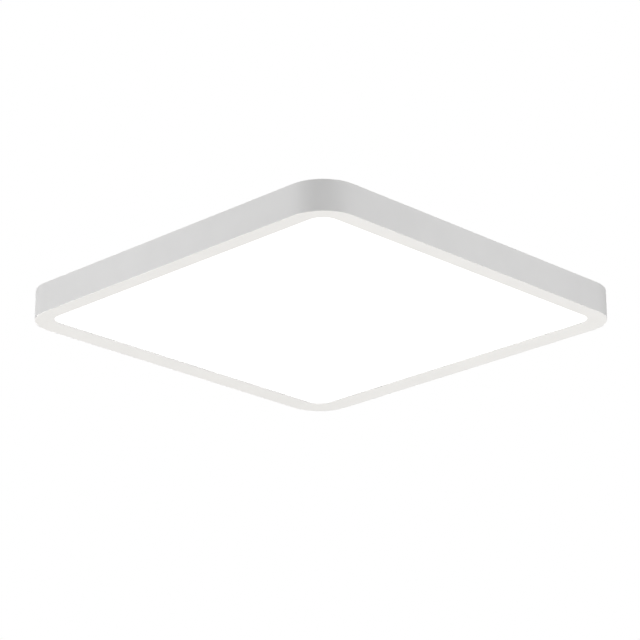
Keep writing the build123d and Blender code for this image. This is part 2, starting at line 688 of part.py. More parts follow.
def make_driver_base():
    inside = driver_block(DRIVER_WALL, PAN_TOP + DRIVER_WALL, DRIVER_SPLIT)
    seam_low = DRIVER_SPLIT - SEAM_H
    seam = driver_block(0, seam_low, DRIVER_SPLIT) - driver_block(SEAM_DEPTH, seam_low, DRIVER_SPLIT)
    windows = [catch_nose(x, side, 0, CATCH_GAP) for x, side in CATCHES]
    base = driver_block(0, PAN_TOP, DRIVER_SPLIT) - [inside, seam, *windows]
    base = base + [rod(x, y, POST_R, PAN_TOP, BOARD_UNDER) for x, y in board_corners()]
    half_w = DRIVER_EAR_W / 2
    for x0, x1 in ((DRIVER_LEFT - DRIVER_EAR_L, DRIVER_LEFT), (DRIVER_RIGHT, DRIVER_RIGHT + DRIVER_EAR_L)):
        ear = block(x0, x1, DRIVER_Y - half_w, DRIVER_Y + half_w, PAN_TOP, PAN_TOP + DRIVER_EAR_T)
        outer_x = x0 if x0 < DRIVER_LEFT else x1
        corners = [e for e in ear.edges().filter_by(Axis.Z) if abs(e.center().X - outer_x) < FIT_GAP]
        base += fillet(corners, DRIVER_R)
    base = drill(base, DRIVER_SCREWS, SCREW_R + FIT_GAP, PAN_TOP, PAN_TOP + DRIVER_EAR_T)
    base = base - lead_holes(DRIVER_LEFT, DRIVER_LEFT + DRIVER_WALL, LEAD_R, LEAD_Z)
    return base - lead_holes(DRIVER_RIGHT - DRIVER_WALL, DRIVER_RIGHT, LED_LEAD_R, LEAD_Z)


def make_driver_lid():
    lid = driver_block(0, DRIVER_SPLIT, DRIVER_TOP)
    lid = fillet(lid.edges().group_by(Axis.Z)[-1], DRIVER_EDGE_R)
    lid -= driver_block(DRIVER_WALL, DRIVER_SPLIT, DRIVER_TOP - DRIVER_WALL)
    first = DRIVER_X - (VENT_COUNT - 1) / 2 * VENT_PITCH
    vent = Rot(0, 0, 90) * slot_plate(VENT_L, VENT_W, DRIVER_TOP - DRIVER_WALL, DRIVER_TOP)
    lid = lid - [Pos(first + i * VENT_PITCH, DRIVER_Y, 0) * vent for i in range(VENT_COUNT)]
    label_x = DRIVER_RIGHT - LABEL_FROM_END - LABEL_L / 2
    label = extrude(RectangleRounded(LABEL_L, LABEL_W, LABEL_R), LABEL_DEPTH)
    lid -= Pos(label_x, DRIVER_Y, DRIVER_TOP - LABEL_DEPTH) * label
    return lid + [catch(x, side) for x, side in CATCHES]


def make_driver_board():
    edge = DRIVER_WALL + BOARD_GAP
    return driver_block(edge, BOARD_UNDER, BOARD_TOP)


def board_chip(x, y, size):
    """A flat moulded part on the board, from x along the board and centred on y."""
    length, width, height = size
    return block(x, x + length, y - width / 2, y + width / 2, BOARD_TOP, BOARD_TOP + height)


def driver_parts():
    """The main parts on the driver board, in a row from its supply end to its LED end."""
    can_r = (PART_TOP - BOARD_TOP) / 2
    can_z = (PART_TOP + BOARD_TOP) / 2
    front_y = DRIVER_Y + FRONT_ROW

    fuse_x = DRIVER_LEFT + DRIVER_WALL + BOARD_GAP + FIRST_PART
    choke_x = fuse_x + FUSE_L + PART_SPACING + CHOKE_R
    can_x = choke_x + CHOKE_R + PART_SPACING
    switch_x = can_x + INPUT_CAN_L + PART_SPACING
    core_x = switch_x + SWITCH_SIZE[0] + PART_SPACING
    output_x = core_x + CORE_L + PART_SPACING

    choke = rod(choke_x, DRIVER_Y, CHOKE_R, BOARD_TOP, BOARD_TOP + CHOKE_H)
    choke -= rod(choke_x, DRIVER_Y, CHOKE_BORE_R, BOARD_TOP, BOARD_TOP + CHOKE_H)
    window_x = (core_x + CORE_LEG, core_x + CORE_L - CORE_LEG)
    window_z = (BOARD_TOP, PART_TOP - CORE_YOKE)
    half_core = CORE_W / 2
    half_winding = half_core + WINDING_PROUD
    core = block(core_x, core_x + CORE_L, DRIVER_Y - half_core, DRIVER_Y + half_core, BOARD_TOP, PART_TOP)
    winding = block(*window_x, DRIVER_Y - half_winding, DRIVER_Y + half_winding, *window_z)
    output_cans = [
        rod_x(DRIVER_Y + row, can_z, can_r, output_x, output_x + OUTPUT_CAN_L) for row in OUTPUT_CAN_ROWS
    ]
    return {
        "driver_fuse": rod_x(front_y, BOARD_TOP + FUSE_R, FUSE_R, fuse_x, fuse_x + FUSE_L),
        "driver_choke": choke,
        "driver_rectifier": board_chip(can_x, front_y, RECTIFIER_SIZE),
        "driver_input_capacitor": rod_x(DRIVER_Y + INPUT_CAN_ROW, can_z, can_r, can_x, can_x + INPUT_CAN_L),
        "driver_power_switch": board_chip(switch_x, front_y, SWITCH_SIZE),
        "driver_transformer_core": core - winding,
        "driver_transformer_winding": winding,
        "driver_output_capacitors": group(output_cans),
    }


def make_driver_screws():
    seat = PAN_TOP + DRIVER_EAR_T
    length = DRIVER_EAR_T + PAN_T + PAN_SCREW_GRIP
    return group(pan_head_screw(x, y, seat, length) for x, y in DRIVER_SCREWS)


# ---------------------------------------------------------------- terminal block

def make_terminal_base():
    base = block(
        TERMINAL_X - TERMINAL_L / 2, TERMINAL_X + TERMINAL_L / 2,
        TERMINAL_Y - TERMINAL_W / 2, TERMINAL_Y + TERMINAL_W / 2, PAN_TOP, TERMINAL_FLOOR,
    )
    ears = block(
        TERMINAL_X - TERMINAL_L / 2 - EAR_L, TERMINAL_X + TERMINAL_L / 2 + EAR_L,
        TERMINAL_Y - EAR_W / 2, TERMINAL_Y + EAR_W / 2, PAN_TOP, TERMINAL_FLOOR,
    )
    ears = fillet(ears.edges().filter_by(Axis.Z), EAR_R)
    return drill(base + ears, TERMINAL_SCREWS, SCREW_R + FIT_GAP, PAN_TOP, TERMINAL_FLOOR)


def make_terminal_housing():
    front = TERMINAL_Y - TERMINAL_W / 2
    back = TERMINAL_Y + TERMINAL_W / 2
    housing = block(
        TERMINAL_X - TERMINAL_L / 2, TERMINAL_X + TERMINAL_L / 2, front, back, TERMINAL_FLOOR, TERMINAL_TOP,
    )
    housing = fillet(housing.edges().group_by(Axis.Z)[-1], HOUSING_EDGE_R)
    pocket_y = TERMINAL_Y - BUTTON_FROM_MIDDLE
    half_l = BUTTON_L / 2 + BUTTON_GAP
    half_w = BUTTON_W / 2 + BUTTON_GAP
    half_cell = CELL_W / 2
    cell_front, cell_back = TERMINAL_Y - CELL_L / 2, TERMINAL_Y + CELL_L / 2
    cell_top = TERMINAL_FLOOR + CELL_H
    funnel_l = ENTRY_FUNNEL_R - ENTRY_R
    for x in POLES.values():
        cell = block(x - half_cell, x + half_cell, cell_front, cell_back, TERMINAL_FLOOR, cell_top)
        pocket = block(
            x - half_w, x + half_w, pocket_y - half_l, pocket_y + half_l, TERMINAL_FLOOR, TERMINAL_TOP,
        )
        cone = Cone(ENTRY_R, ENTRY_FUNNEL_R, funnel_l)
        funnel = Pos(x, front + funnel_l / 2, ENTRY_Z) * Rot(90, 0, 0) * cone
        entry = rod_y(x, ENTRY_Z, ENTRY_R, front, cell_front)
        outlet = rod_y(x, LEAD_Z, LEAD_R + LEAD_CLEAR, cell_back, back)
        test_hole = rod(x, back - TEST_HOLE_FROM_BACK, TEST_HOLE_R, cell_top, TERMINAL_TOP)
        housing = housing - [cell, pocket, funnel, entry, outlet, test_hole]
    for x in (TERMINAL_X - POLE_PITCH / 2, TERMINAL_X + POLE_PITCH / 2):
        x0, x1 = x - GROOVE_W / 2, x + GROOVE_W / 2
        housing -= block(x0, x1, front, back, TERMINAL_TOP - GROOVE_DEPTH, TERMINAL_TOP)
        housing -= block(x0, x1, front, front + GROOVE_DEPTH, TERMINAL_FLOOR, TERMINAL_TOP)
    return housing


def make_button(x):
    """A release button: its foot keeps it in the housing."""
    y = TERMINAL_Y - BUTTON_FROM_MIDDLE
    foot_top = TERMINAL_FLOOR + CELL_H - LEAD_CLEAR
    stem = block(
        x - BUTTON_W / 2, x + BUTTON_W / 2, y - BUTTON_L / 2, y + BUTTON_L / 2,
        foot_top - BUTTON_FLANGE_T, TERMINAL_TOP + BUTTON_PROUD,
    )
    stem = fillet(stem.edges().group_by(Axis.Z)[-1], BUTTON_EDGE_R)
    half_w = BUTTON_W / 2 + BUTTON_FLANGE
    half_l = BUTTON_L / 2 + BUTTON_FLANGE
    foot = block(x - half_w, x + half_w, y - half_l, y + half_l, foot_top - BUTTON_FLANGE_T, foot_top)
    return stem + foot


def make_contacts():
    """A brass bar on the floor of each pole, with a raised saddle under the lead."""
    half_w = CONTACT_W / 2
    half_l = CELL_L / 2 - FIT_GAP
    back = TERMINAL_Y + half_l
    saddle_front = TERMINAL_Y + TERMINAL_W / 2 - LEAD_INSERT
    contacts = []
    front = TERMINAL_Y - half_l
    bar_top = TERMINAL_FLOOR + CONTACT_T
    for x in POLES.values():
        bar = block(x - half_w, x + half_w, front, back, TERMINAL_FLOOR, bar_top)
        saddle = block(x - half_w, x + half_w, saddle_front, back, TERMINAL_FLOOR, LEAD_Z - LEAD_R)
        contacts.append(bar + saddle)
    return group(contacts)


def make_clamps():
    """A steel clamp leaf on a post over each contact bar, just below the fully pressed button."""
    low = TERMINAL_FLOOR + CONTACT_T
    high = TERMINAL_FLOOR + CELL_H - LEAD_CLEAR - BUTTON_FLANGE_T - BUTTON_TRAVEL - CLAMP_CLEAR
    half_w = CONTACT_W / 2
    front = TERMINAL_Y - CELL_L / 2 + CONTACT_T
    clamps = []
    for x in POLES.values():
        leaf = block(x - half_w, x + half_w, front, TERMINAL_Y + CLAMP_T, high - CLAMP_T, high)
        post = block(x - half_w, x + half_w, TERMINAL_Y - CLAMP_T, TERMINAL_Y + CLAMP_T, low, high)
        clamps.append(leaf + post)
    return group(clamps)


def make_terminal_screws():
    length = TERMINAL_BASE_T + PAN_T + PAN_SCREW_GRIP
    return group(pan_head_screw(x, y, TERMINAL_FLOOR, length) for x, y in TERMINAL_SCREWS)


# ---------------------------------------------------------------- leads, clips and earth

def mains_lead(pole, y):
    """From the terminal block's rear side, round one bend, into the driver's left end."""
    x = POLES[pole]
    start = TERMINAL_Y + TERMINAL_W / 2 - LEAD_INSERT
    points = [(x, start, LEAD_Z), (x, y, LEAD_Z), (DRIVER_LEFT + LEAD_INSERT, y, LEAD_Z)]
    return lead(points, bend_radii(points), LEAD_R)


def led_lead(column, y, drop_y, low):
    """From the driver's right end, along the pan, over its notched edge and down to the LED strip."""
    edge_x = STRIP_BACK + LED_LEAD_R / 2
    points = [
        (DRIVER_RIGHT - LEAD_INSERT, y, LEAD_Z),
        (DRIVER_RIGHT + LEAD_INSERT, y, LEAD_Z),
        (column, y, LED_LEAD_Z),
        (column, drop_y - (edge_x - column) * LED_LEAD_SLANT, LED_LEAD_Z),
        (edge_x, drop_y, LED_LEAD_Z),
        (edge_x, drop_y, low),
        (edge_x, STRIP_STOP, low),
    ]
    return lead(points, bend_radii(points), LED_LEAD_R)


def clip(x, y, along, radius, level):
    """A clip on the pan that holds two leads side by side, open at the top over each."""
    half = LEAD_GAP / 2 + radius + CLIP_WALL
    top = level + radius + CLIP_ROOF
    body = block(-CLIP_L / 2, CLIP_L / 2, -half, half, PAN_TOP, top)
    body = fillet(body.edges().filter_by(Axis.Z), CLIP_WALL / 2)
    for s in (-1, 1):
        lane = s * LEAD_GAP / 2
        mouth = CLIP_MOUTH * radius / 2
        body -= rod_x(lane, level, radius + LEAD_CLEAR, -CLIP_L, CLIP_L)
        body -= block(-CLIP_L, CLIP_L, lane - mouth / 2, lane + mouth / 2, level, top)
    turn = 0 if along == "X" else 90
    return Pos(x, y, 0) * Rot(0, 0, turn) * body


def make_lug():
    """A ring terminal under the earth screw, with its crimped barrel towards the terminal block."""
    ring = rod(EARTH_X, EARTH_Y, LUG_R, PAN_TOP, PAN_TOP + LUG_T)
    barrel_r = LEAD_R + LUG_BARREL_WALL
    barrel_z = PAN_TOP + barrel_r
    barrel_back = EARTH_Y - LUG_R
    barrel_front = barrel_back - LUG_BARREL_L
    barrel = rod_y(EARTH_X, barrel_z, barrel_r, barrel_front, barrel_back)
    bore = rod_y(EARTH_X, barrel_z, LEAD_R + FIT_GAP, barrel_front, barrel_back)
    tongue = block(
        EARTH_X - barrel_r, EARTH_X + barrel_r, barrel_front, EARTH_Y, PAN_TOP, PAN_TOP + LUG_T,
    )
    lug = ring + tongue + barrel - bore
    return drill(lug, [(EARTH_X, EARTH_Y)], SCREW_R + FIT_GAP, PAN_TOP, PAN_TOP + LUG_T)


def make_earth_lead():
    """From the earth pole down to the ring terminal's barrel."""
    start = TERMINAL_Y + TERMINAL_W / 2 - LEAD_INSERT
    barrel_z = PAN_TOP + LEAD_R + LUG_BARREL_WALL
    barrel_back = EARTH_Y - LUG_R
    barrel_front = barrel_back - LUG_BARREL_L
    points = [
        (EARTH_X, start, LEAD_Z),
        (EARTH_X, start + 2 * LEAD_INSERT, LEAD_Z),
        (EARTH_X, barrel_front - LEAD_INSERT, barrel_z),
        (EARTH_X, barrel_back - LUG_T, barrel_z),
    ]
    return lead(points, bend_radii(points), LEAD_R)


def make_earth_screw():
    seat = PAN_TOP + LUG_T
    return pan_head_screw(EARTH_X, EARTH_Y, seat, LUG_T + PAN_T + PAN_SCREW_GRIP)


# ---------------------------------------------------------------- the whole lamp

LEAD_MIDDLE_Y = LEAD_Y - LEAD_GAP / 2
LED_COLUMN = (DRIVER_RIGHT + PAN_HALF) / 2                    # the low voltage leads run along this x
LED_DROP_Y = STRIP_STOP + NOTCH_W / 2
MAINS_CLIP = (DRIVER_LEFT - TERMINAL_TO_DRIVER / 2, LEAD_MIDDLE_Y)
LED_CLIP = (LED_COLUMN, (LEAD_MIDDLE_Y + LED_DROP_Y) / 2 - CLIP_L)


def led_lead_of(side):
    """The low voltage lead on one side of the pair: 1 is the positive one, which ends higher."""
    return led_lead(
        LED_COLUMN + side * LEAD_GAP / 2,
        LEAD_MIDDLE_Y - side * LEAD_GAP / 2,
        LED_DROP_Y - side * LED_LEAD_SPREAD / 2,
        GUIDE_MID + side * LED_LEAD_STEP / 2,
    )


NODES = {
    "frame_bezel": make_frame(),
    "diffuser_plate": make_diffuser(),
    "light_guide_plate": make_guide(),
    "reflector_sheet": make_reflector(),
    "foam_pad": make_foam(),
    "led_strip": make_led_strip(),
    "led_packages": make_leds(),
    "thermal_tapes": make_tapes(),
    "back_pan": make_pan(),
    "frame_screws": make_frame_screws(),
    "mounting_bar": make_bar(),
    "hanger_studs": make_studs(),
    "hanger_bridge_left": make_bridge(-STUD_X),
    "hanger_bridge_right": make_bridge(STUD_X),
    "bridge_rivets": make_rivets(),
    "driver_case_base": make_driver_base(),
    "driver_case_lid": make_driver_lid(),
    "driver_board": make_driver_board(),
    **driver_parts(),
    "driver_screws": make_driver_screws(),
    "terminal_base": make_terminal_base(),
    "terminal_housing": make_terminal_housing(),
    "terminal_contacts": make_contacts(),
    "terminal_clamps": make_clamps(),
    "terminal_screws": make_terminal_screws(),
    **{f"release_button_{name}": make_button(x) for name, x in POLES.items()},
    "lead_live": mains_lead("live", LEAD_Y - LEAD_GAP),
    "lead_neutral": mains_lead("neutral", LEAD_Y),
    "lead_earth": make_earth_lead(),
    "earth_lug": make_lug(),
    "earth_screw": make_earth_screw(),
    "led_lead_positive": led_lead_of(1),
    "led_lead_negative": led_lead_of(-1),
    "lead_clips": group([
        clip(*MAINS_CLIP, "X", LEAD_R, LEAD_Z),
        clip(*LED_CLIP, "Y", LED_LEAD_R, LED_LEAD_Z),
    ]),
}

os.makedirs("parts", exist_ok=True)
for node, shape in NODES.items():
    export_step(shape, f"parts/{node}.step")
print(f"{len(NODES)} nodes written")
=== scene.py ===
import math

import bpy
from mathutils import Matrix, Vector


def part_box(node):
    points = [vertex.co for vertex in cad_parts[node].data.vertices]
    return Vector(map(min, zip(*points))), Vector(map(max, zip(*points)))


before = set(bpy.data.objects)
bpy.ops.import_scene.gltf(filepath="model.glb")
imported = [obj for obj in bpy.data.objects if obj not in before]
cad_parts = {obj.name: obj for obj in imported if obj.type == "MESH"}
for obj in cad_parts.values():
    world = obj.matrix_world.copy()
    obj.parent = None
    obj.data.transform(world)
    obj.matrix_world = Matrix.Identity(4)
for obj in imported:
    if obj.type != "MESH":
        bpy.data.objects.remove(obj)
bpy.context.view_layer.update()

MM = 0.001

# ---------------------------------------------------------------- the photograph's view

IMAGE_WIDTH_PX = 640
SENSOR_MM = 36.0
VIEW_END_M = 50.0          # nothing beyond is drawn
FOCAL_PX = 2600.0          # the photograph's focal length, in pixels of its 640 pixel frame
VIEW_YAW_DEG = 45.44       # from +Y towards +X: the near corner points at the viewer
VIEW_PITCH_DEG = 20.30     # the viewer is below the lamp and looks up
VIEW_ROLL_DEG = -0.20
VIEW_DISTANCE_M = 1.8265
TARGET_PX = (1.11, 1.43)   # right and down of the frame's centre, where the rim's middle lies


def make_camera():
    yaw, pitch, roll = (math.radians(a) for a in (VIEW_YAW_DEG, VIEW_PITCH_DEG, VIEW_ROLL_DEG))
    forward = Vector((math.sin(yaw) * math.cos(pitch), math.cos(yaw) * math.cos(pitch), math.sin(pitch)))
    right = Vector((math.cos(yaw), -math.sin(yaw), 0.0))
    up = right.cross(forward)
    target = Vector((0.0, 0.0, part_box("frame_bezel")[0].z))
    place = target - forward * VIEW_DISTANCE_M
    per_px = VIEW_DISTANCE_M / FOCAL_PX
    aim = target - right * TARGET_PX[0] * per_px + up * TARGET_PX[1] * per_px
    forward = (aim - place).normalized()
    right = forward.cross(up).normalized()
    up = right.cross(forward)
    tilt = Matrix.Rotation(-roll, 3, forward)
    right, up = tilt @ right, tilt @ up
    data = bpy.data.cameras.new("photo_camera")
    data.sensor_width = SENSOR_MM
    data.lens = SENSOR_MM * FOCAL_PX / IMAGE_WIDTH_PX
    data.clip_end = VIEW_END_M
    camera = bpy.data.objects.new("photo_camera", data)
    rotation = Matrix((right, up, -forward)).transposed()
    camera.matrix_world = Matrix.Translation(place) @ rotation.to_4x4()
    bpy.context.scene.collection.objects.link(camera)
    bpy.context.scene.camera = camera


# ---------------------------------------------------------------- light

def toward(bearing_deg, elevation_deg=0.0):
    """A direction, as the angle from -Y towards -X and the angle above the level."""
    bearing, elevation = math.radians(bearing_deg), math.radians(elevation_deg)
    level = math.cos(elevation)
    return Vector((-math.sin(bearing) * level, -math.cos(bearing) * level, math.sin(elevation)))


# A light's level is the brightness of a white surface that faces it.
# name: where the light comes from, its level, its width in degrees and its colour
SUNS = {
    "below": (toward(225.0, -82.0), 0.782, 25.0, (1.0, 0.985, 0.955)),
    "above": (toward(225.0, 70.0), 0.55, 55.0, (1.0, 1.0, 1.0)),
}
# name: where the light comes from, its level, and the panel's distance and size in metres
PANELS = {
    "right_wall": (toward(-8.0), 0.323, 0.6, 0.3),
    "near_corner": (toward(39.0), 0.12, 0.65, 0.3),
    "left_wall": (toward(100.0), 0.257, 0.6, 0.3),
    "left_far": (toward(136.0), 0.246, 4.5, 1.6),
}
WORLD_LEVEL = 0.12


def place_light(name, data, direction, distance):
    lamp = bpy.data.objects.new(name, data)
    lamp.rotation_euler = direction.to_track_quat("Z", "Y").to_euler()
    lamp.location = direction * distance
    lamp.visible_camera = False
    bpy.context.scene.collection.objects.link(lamp)


def make_lights():
    for name, (direction, level, width_deg, color) in SUNS.items():
        data = bpy.data.lights.new(f"sun_{name}", "SUN")
        data.color = color
        data.energy = level * math.pi
        data.angle = math.radians(width_deg)
        place_light(f"sun_{name}", data, direction, 1.0)
    for name, (direction, level, distance, size) in PANELS.items():
        data = bpy.data.lights.new(f"panel_{name}", "AREA")
        data.size = size
        data.energy = level * math.pi ** 2 * distance ** 2
        place_light(f"panel_{name}", data, direction, distance)


# ---------------------------------------------------------------- material nodes

def new_material(name, color, roughness, metallic=0.0, specular=0.5):
    """A material whose even values are set on the shader itself."""
    material = bpy.data.materials.new(name)
    material.use_nodes = True
    shader = shader_of(material)
    shader.inputs["Base Color"].default_value = (*color, 1.0)
    shader.inputs["Roughness"].default_value = roughness
    shader.inputs["Metallic"].default_value = metallic
    shader.inputs["Specular IOR Level"].default_value = specular
    return material


def shader_of(material):
    return material.node_tree.nodes["Principled BSDF"]


def add(material, kind, **values):
    """A new node, with its input sockets set by name."""
    node = material.node_tree.nodes.new(kind)
    for name, value in values.items():
        node.inputs[name].default_value = value
    return node


def join(material, output, socket):
    material.node_tree.links.new(output, socket)


def coordinates(material, stretch=(1.0, 1.0, 1.0)):
    """Places on the object in millimetres, shrunk along each axis by its stretch."""
    texture = add(material, "ShaderNodeTexCoord")
    mapping = add(material, "ShaderNodeMapping", Scale=[1.0 / (MM * s) for s in stretch])
    join(material, texture.outputs["Object"], mapping.inputs["Vector"])
    return mapping.outputs["Vector"]


def noise(material, feature, detail=2.0, stretch=(1.0, 1.0, 1.0)):
    """Cloudy values round 0.5 whose spots are as large as the feature, in millimetres."""
    node = add(material, "ShaderNodeTexNoise", Scale=1.0 / feature, Detail=detail)
    join(material, coordinates(material, stretch), node.inputs["Vector"])
    return node.outputs["Fac"]


def cells(material, size):
    """One random value for each crystal cell of that size, in millimetres."""
    node = add(material, "ShaderNodeTexVoronoi", Scale=1.0 / size)
    join(material, coordinates(material), node.inputs["Vector"])
    separate = add(material, "ShaderNodeSeparateColor")
    join(material, node.outputs["Color"], separate.inputs["Color"])
    return separate.outputs["Red"]


WAVE_PERIOD = math.pi / 10.0     # of the wave texture at scale 1


def bands(material, pitch, axis):
    """Waves from 0 to 1 along an axis, one for each pitch, in millimetres."""
    node = add(material, "ShaderNodeTexWave", Scale=WAVE_PERIOD / pitch)
    node.bands_direction = axis
    join(material, coordinates(material), node.inputs["Vector"])
    return node.outputs["Fac"]


def fit_range(material, value, low, high, start=0.3, end=0.7):
    """Carries values between start and end over to the range from low to high."""
    values = {"From Min": start, "From Max": end, "To Min": low, "To Max": high}
    node = add(material, "ShaderNodeMapRange", **values)
    join(material, value, node.inputs["Value"])
    return node.outputs["Result"]


def blend_colors(material, value, first, second, start=0.3, end=0.7):
    """Colours the surface from the first colour to the second as the value grows."""
    node = add(material, "ShaderNodeMix")
    node.data_type = "RGBA"
    node.inputs["A"].default_value = (*first, 1.0)
    node.inputs["B"].default_value = (*second, 1.0)
    join(material, fit_range(material, value, 0.0, 1.0, start, end), node.inputs["Factor"])
    return node.outputs["Result"]


def color_by(material, value, first, second, start=0.3, end=0.7):
    color = blend_colors(material, value, first, second, start, end)
    join(material, color, shader_of(material).inputs["Base Color"])


def roughen(material, value, low, high):
    join(material, fit_range(material, value, low, high), shader_of(material).inputs["Roughness"])


def relief(material, *layers):
    """Stacks bumps, each a height between 0 and 1 and its depth in millimetres."""
    normal = None
    for height, depth in layers:
        node = add(material, "ShaderNodeBump", Distance=depth * MM)
        join(material, height, node.inputs["Height"])
        if normal is not None:
            join(material, normal, node.inputs["Normal"])
        normal = node.outputs["Normal"]
    join(material, normal, shader_of(material).inputs["Normal"])


def shaded(color, factor):
    return tuple(channel * factor for channel in color)


# ---------------------------------------------------------------- materials

def moulded_plastic(name, color, roughness, grain=0.35, depth=0.012, specular=0.4):
    """Spark-eroded mould grain, with faint flow marks in colour and gloss."""
    material = new_material(name, color, roughness, specular=specular)
    flow = noise(material, 22.0, detail=3.0)
    color_by(material, flow, shaded(color, 0.985), shaded(color, 1.01))
    roughen(material, noise(material, 5.0), roughness - 0.04, roughness + 0.04)
    relief(material, (noise(material, grain, detail=3.0), depth))
    return material


def sheet_metal(name, color, roughness, spangle):
    """Galvanised sheet: flat crystals of differing grey, and fine rolling marks along X."""
    material = new_material(name, color, roughness, metallic=1.0)
    crystals = cells(material, spangle)
    color_by(material, crystals, shaded(color, 0.95), shaded(color, 1.04), start=0.0, end=1.0)
    roughen(material, crystals, roughness - 0.02, roughness + 0.03)
    rolling = noise(material, 0.4, detail=3.0, stretch=(40.0, 1.0, 1.0))
    relief(material, (rolling, 0.004))
    return material


def plated_steel(name, color, roughness):
    """Zinc plated fastener: a bright skin with cloudy patches and fine marks."""
    material = new_material(name, color, roughness, metallic=1.0)
    patches = noise(material, 1.8, detail=4.0)
    color_by(material, patches, shaded(color, 0.85), shaded(color, 1.08))
    roughen(material, patches, roughness - 0.06, roughness + 0.12)
    relief(material, (noise(material, 0.25, detail=3.0), 0.004))
    return material


def rolled_sheet(name, color, roughness):
    """Electro-galvanised sheet: an even matt grey with long fine rolling marks along X."""
    material = new_material(name, color, roughness, metallic=1.0)
    streaks = noise(material, 1.2, detail=4.0, stretch=(60.0, 1.0, 1.0))
    color_by(material, streaks, shaded(color, 0.95), shaded(color, 1.04))
    roughen(material, noise(material, 9.0, detail=3.0), roughness - 0.05, roughness + 0.06)
    rolling = noise(material, 0.3, detail=3.0, stretch=(50.0, 1.0, 1.0))
    relief(material, (rolling, 0.004), (noise(material, 45.0, detail=1.0), 0.12))
    return material


def insulation(name, color):
    """Extruded PVC: slightly waxy, with faint drawing marks."""
    material = new_material(name, color, 0.42, specular=0.45)
    color_by(material, noise(material, 4.0, detail=3.0), shaded(color, 0.9), shaded(color, 1.06))
    roughen(material, noise(material, 1.2), 0.36, 0.5)
    relief(material, (noise(material, 0.5, detail=2.0), 0.01))
    return material


def dress(material, *nodes):
    """Gives CAD nodes their finish."""
    for node in nodes:
        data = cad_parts[node].data
        data.materials.clear()
        data.materials.append(material)


# ---------------------------------------------------------------- bezel and lit panel

BEZEL_WHITE = (0.877, 0.874, 0.870)
OPAL_GLOW = 0.95
ACRYLIC_IOR = 1.49
DOT_PITCH = 1.5            # etched dots on the light guide, mm
PORE_SIZE = 0.7            # foam, mm


def dress_bezel():
    bezel = moulded_plastic("bezel_plastic", BEZEL_WHITE, 0.66, grain=0.3, depth=0.006, specular=0.25)
    dress(bezel, "frame_bezel")


def dress_panel():
    """The opal plate glows evenly, and its matt skin has a fine etched grain."""
    opal = new_material("opal_diffuser", (0.45, 0.45, 0.45), 0.55, specular=0.3)
    grain = noise(opal, 0.25, detail=2.0)
    color_by(opal, grain, (0.44, 0.44, 0.44), (0.46, 0.46, 0.46))
    roughen(opal, grain, 0.5, 0.6)
    relief(opal, (grain, 0.004))
    shader = shader_of(opal)
    shader.inputs["Emission Strength"].default_value = OPAL_GLOW
    glow = blend_colors(opal, noise(opal, 60.0), (0.985, 0.985, 0.98), (1.0, 1.0, 1.0))
    join(opal, glow, shader.inputs["Emission Color"])
    dress(opal, "diffuser_plate")

    guide = new_material("clear_acrylic", (0.93, 0.97, 0.96), 0.04)
    shader_of(guide).inputs["Transmission Weight"].default_value = 0.9
    shader_of(guide).inputs["IOR"].default_value = ACRYLIC_IOR
    dots = add(guide, "ShaderNodeTexVoronoi", Scale=1.0 / DOT_PITCH, Randomness=0.0)
    join(guide, coordinates(guide), dots.inputs["Vector"])
    spots = fit_range(guide, dots.outputs["Distance"], 0.7, 0.04, start=0.25, end=0.35)
    join(guide, spots, shader_of(guide).inputs["Roughness"])
    dress(guide, "light_guide_plate")

    film = new_material("reflector_film", (0.93, 0.93, 0.92), 0.5)
    color_by(film, noise(film, 6.0), (0.92, 0.92, 0.91), (0.94, 0.94, 0.93))
    relief(film, (noise(film, 0.4), 0.006))
    dress(film, "reflector_sheet")

    foam = new_material("white_foam", (0.8, 0.8, 0.78), 0.9, specular=0.2)
    pores_and_shade = add(foam, "ShaderNodeTexVoronoi", Scale=1.0 / PORE_SIZE)
    join(foam, coordinates(foam), pores_and_shade.inputs["Vector"])
    # Painted shade: the foam is darker towards the middle of each pore, where its bump is deepest.
    color_by(foam, pores_and_shade.outputs["Distance"], (0.66, 0.66, 0.64), (0.82, 0.82, 0.8), start=0.0, end=0.5)
    relief(foam, (pores_and_shade.outputs["Distance"], 0.25))
    dress(foam, "foam_pad")


def dress_led_strip():
    strip = new_material("led_circuit", (0.86, 0.86, 0.84), 0.4)
    color_by(strip, noise(strip, 3.0, detail=3.0), (0.84, 0.84, 0.82), (0.88, 0.88, 0.86))
    relief(strip, (noise(strip, 0.8), 0.02))
    dress(strip, "led_strip")

    leds = new_material("led_phosphor", (0.93, 0.8, 0.36), 0.35)
    color_by(leds, noise(leds, 0.5), (0.9, 0.74, 0.3), (0.95, 0.84, 0.42))
    shader_of(leds).inputs["Emission Color"].default_value = (1.0, 0.96, 0.88, 1.0)
    shader_of(leds).inputs["Emission Strength"].default_value = 1.0
    relief(leds, (noise(leds, 0.3), 0.02))
    dress(leds, "led_packages")

    tape = new_material("thermal_tape", (0.5, 0.52, 0.54), 0.75, specular=0.3)
    color_by(tape, noise(tape, 1.2, detail=3.0), (0.46, 0.48, 0.5), (0.54, 0.56, 0.58))
    relief(tape, (noise(tape, 0.6), 0.03))
    dress(tape, "thermal_tapes")


# ---------------------------------------------------------------- pan and hanging parts

def dress_metalwork():
    dress(rolled_sheet("pan_steel", (0.46, 0.47, 0.48), 0.44), "back_pan")
    zinc = sheet_metal("zinc_steel", (0.56, 0.57, 0.585), 0.44, spangle=3.5)
    dress(zinc, "mounting_bar", "hanger_bridge_left", "hanger_bridge_right")
    plated = plated_steel("zinc_screw", (0.68, 0.69, 0.71), 0.24)
    dress(
        plated, "hanger_studs", "bridge_rivets", "frame_screws", "driver_screws", "terminal_screws",
        "earth_screw",
    )


# ---------------------------------------------------------------- driver

WIRE_PITCH = 0.45          # enamelled wire on the transformer, mm
TRACK_L = 9.0              # copper areas on the board, mm
TRACK_W = 2.4
TRACK_GAP = 0.25


